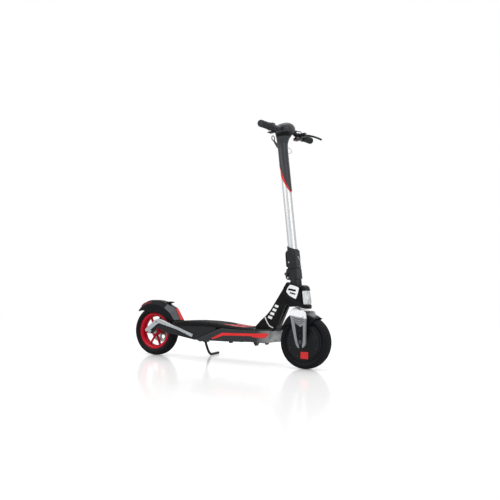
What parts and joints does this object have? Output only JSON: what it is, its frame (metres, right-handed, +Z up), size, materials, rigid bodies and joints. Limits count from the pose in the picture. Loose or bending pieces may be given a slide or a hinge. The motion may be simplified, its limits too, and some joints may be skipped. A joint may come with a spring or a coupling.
{
  "type": "electric scooter",
  "caption": "Folding electric kick scooter on its side stand: deck with battery tray, raked steering stem with bars, hub-motor front wheel, spoked rear wheel with disc brake.",
  "frame": {"origin": "middle of the bounding box's footprint, on the ground the parked scooter stands on", "axes": "+X forward, +Y to the rider's left, +Z up; the scooter leans 4 degrees towards +Y on its kickstand"},
  "size_m": [1.1288, 0.5066, 1.1676],
  "materials": {
    "tyre": "matte",
    "grip_rubber": "matte",
    "gloss_black_aluminium": "gloss",
    "satin_black_aluminium": "satin",
    "satin_black_steel": "satin",
    "satin_black_plastic": "satin",
    "gloss_black_plastic": "gloss",
    "dark_grey_plastic": "satin",
    "crimson_aluminium": "gloss",
    "red_plastic": "gloss",
    "silver_plastic": "satin",
    "white_aluminium": "gloss",
    "satin_aluminium": "satin",
    "steel": "satin",
    "clear_lens": "gloss",
    "battery_wrap": "satin"
  },
  "bodies": {
    "chassis": {"deck_plate": "gloss_black_aluminium", "grip_mat": "grip_rubber", "deck_tray": "dark_grey_plastic", "battery_pack": "battery_wrap", "controller_box": "satin_aluminium", "rear_arm_right": "gloss_black_aluminium", "rear_arm_left": "gloss_black_aluminium", "arm_cover_right": "silver_plastic", "arm_cover_left": "silver_plastic", "rear_axle": "steel", "rear_fender": "dark_grey_plastic", "fender_hook": "satin_black_plastic", "tail_light": "red_plastic", "brake_caliper": "satin_black_aluminium", "brake_cable_rear": "satin_black_plastic", "kickstand_bracket": "satin_black_aluminium", "kickstand_pin": "steel", "neck_frame": "gloss_black_aluminium", "bearing_lower": "steel", "bearing_upper": "steel", "headlight_housing": "satin_black_plastic", "headlight_lens": "clear_lens", "head_bumper": "dark_grey_plastic"},
    "kickstand": {"kickstand_leg": "satin_black_steel"},
    "rear_wheel": {"rear_tyre": "tyre", "rear_rim": "crimson_aluminium", "rear_bearing_right": "steel", "rear_bearing_left": "steel", "brake_disc": "steel"},
    "caliper_arm": {"caliper_arm": "steel"},
    "steering": {"fork": "white_aluminium", "dropout_right": "satin_black_aluminium", "dropout_left": "satin_black_aluminium", "front_axle": "steel", "steerer": "steel", "front_fender": "satin_black_plastic", "fold_block_lower": "satin_black_aluminium", "fold_pin": "steel"},
    "front_wheel": {"front_tyre": "tyre", "hub_motor": "satin_black_aluminium"},
    "safety_button": {"safety_button": "satin_black_plastic"},
    "stem": {"fold_block_upper": "satin_black_aluminium", "stem_tube": "satin_aluminium", "stem_shell": "satin_black_plastic", "cockpit": "satin_black_plastic", "display": "gloss_black_plastic", "handlebar": "satin_black_aluminium", "grip_right": "grip_rubber", "grip_left": "grip_rubber", "throttle_housing": "satin_black_plastic", "brake_perch": "satin_black_aluminium", "brake_cable_front": "satin_black_plastic", "bell": "gloss_black_aluminium", "catch_loop": "satin_black_plastic", "bag_hook": "steel"},
    "latch_lever": {"latch_lever": "satin_black_aluminium"},
    "power_button": {"power_button": "red_plastic"},
    "throttle": {"throttle_lever": "satin_black_plastic"},
    "brake_lever": {"brake_lever": "satin_black_aluminium"},
    "bell_striker": {"bell_striker": "steel"}
  },
  "joints": [
    {"name": "steering", "type": "hinge", "parent": "chassis", "child": "steering", "pos_m": [0.38767, -0.05609, 0.3205], "axis": [-0.1478, 0.069, 0.9866], "range_deg": [-45, 45]},
    {"name": "stem_fold", "type": "hinge", "parent": "steering", "child": "stem", "pos_m": [0.34493, -0.04888, 0.42357], "axis": [0, -0.9976, 0.0698], "range_deg": [0, 91]},
    {"name": "front_wheel_spin", "type": "hinge", "parent": "steering", "child": "front_wheel", "pos_m": [0.438, -0.06967, 0.12628], "axis": [0, 0.9976, -0.0698], "continuous": true},
    {"name": "rear_wheel_spin", "type": "hinge", "parent": "chassis", "child": "rear_wheel", "pos_m": [-0.438, -0.06967, 0.12628], "axis": [0, 0.9976, -0.0698], "continuous": true},
    {"name": "kickstand_swing", "type": "hinge", "parent": "chassis", "child": "kickstand", "pos_m": [-0.1735, -0.00279, 0.08501], "axis": [0, 0.9976, -0.0698], "range_deg": [0, 90]},
    {"name": "latch_lever", "type": "hinge", "parent": "stem", "child": "latch_lever", "pos_m": [0.32558, -0.04079, 0.5392], "axis": [0, 0.9976, -0.0698], "range_deg": [0, 60]},
    {"name": "safety_button", "type": "slide", "parent": "steering", "child": "safety_button", "axis": [0, -0.9976, 0.0698], "range_m": [0, 0.005], "stiffness_N_per_m": 600, "springref_m": -0.002},
    {"name": "power_button", "type": "slide", "parent": "stem", "child": "power_button", "axis": [0.1478, -0.069, -0.9866], "range_m": [0, 0.0015], "stiffness_N_per_m": 400, "springref_m": -0.002},
    {"name": "throttle", "type": "hinge", "parent": "stem", "child": "throttle", "pos_m": [0.29784, -0.1227, 1.13118], "axis": [0, -0.9976, 0.0698], "range_deg": [0, 30], "stiffness_Nm_per_rad": 0.15, "springref_deg": -22.92},
    {"name": "brake_lever", "type": "hinge", "parent": "stem", "child": "brake_lever", "pos_m": [0.33146, 0.12006, 1.11924], "axis": [-0.1478, 0.069, 0.9866], "range_deg": [0, 16], "stiffness_Nm_per_rad": 1.5, "springref_deg": -17.19},
    {"name": "caliper_arm", "type": "hinge", "parent": "chassis", "child": "caliper_arm", "pos_m": [-0.44, -0.01888, 0.17886], "axis": [0, 0.9976, -0.0698], "range_deg": [0, 16]},
    {"name": "bell_striker", "type": "hinge", "parent": "stem", "child": "bell_striker", "pos_m": [0.30563, 0.09002, 1.09112], "axis": [-0.1478, 0.069, 0.9866], "range_deg": [0, 25], "stiffness_Nm_per_rad": 0.02, "springref_deg": -28.65}
  ],
  "couplings": [
    {"joint": "caliper_arm", "follows": "brake_lever", "ratio": 1}
  ]
}
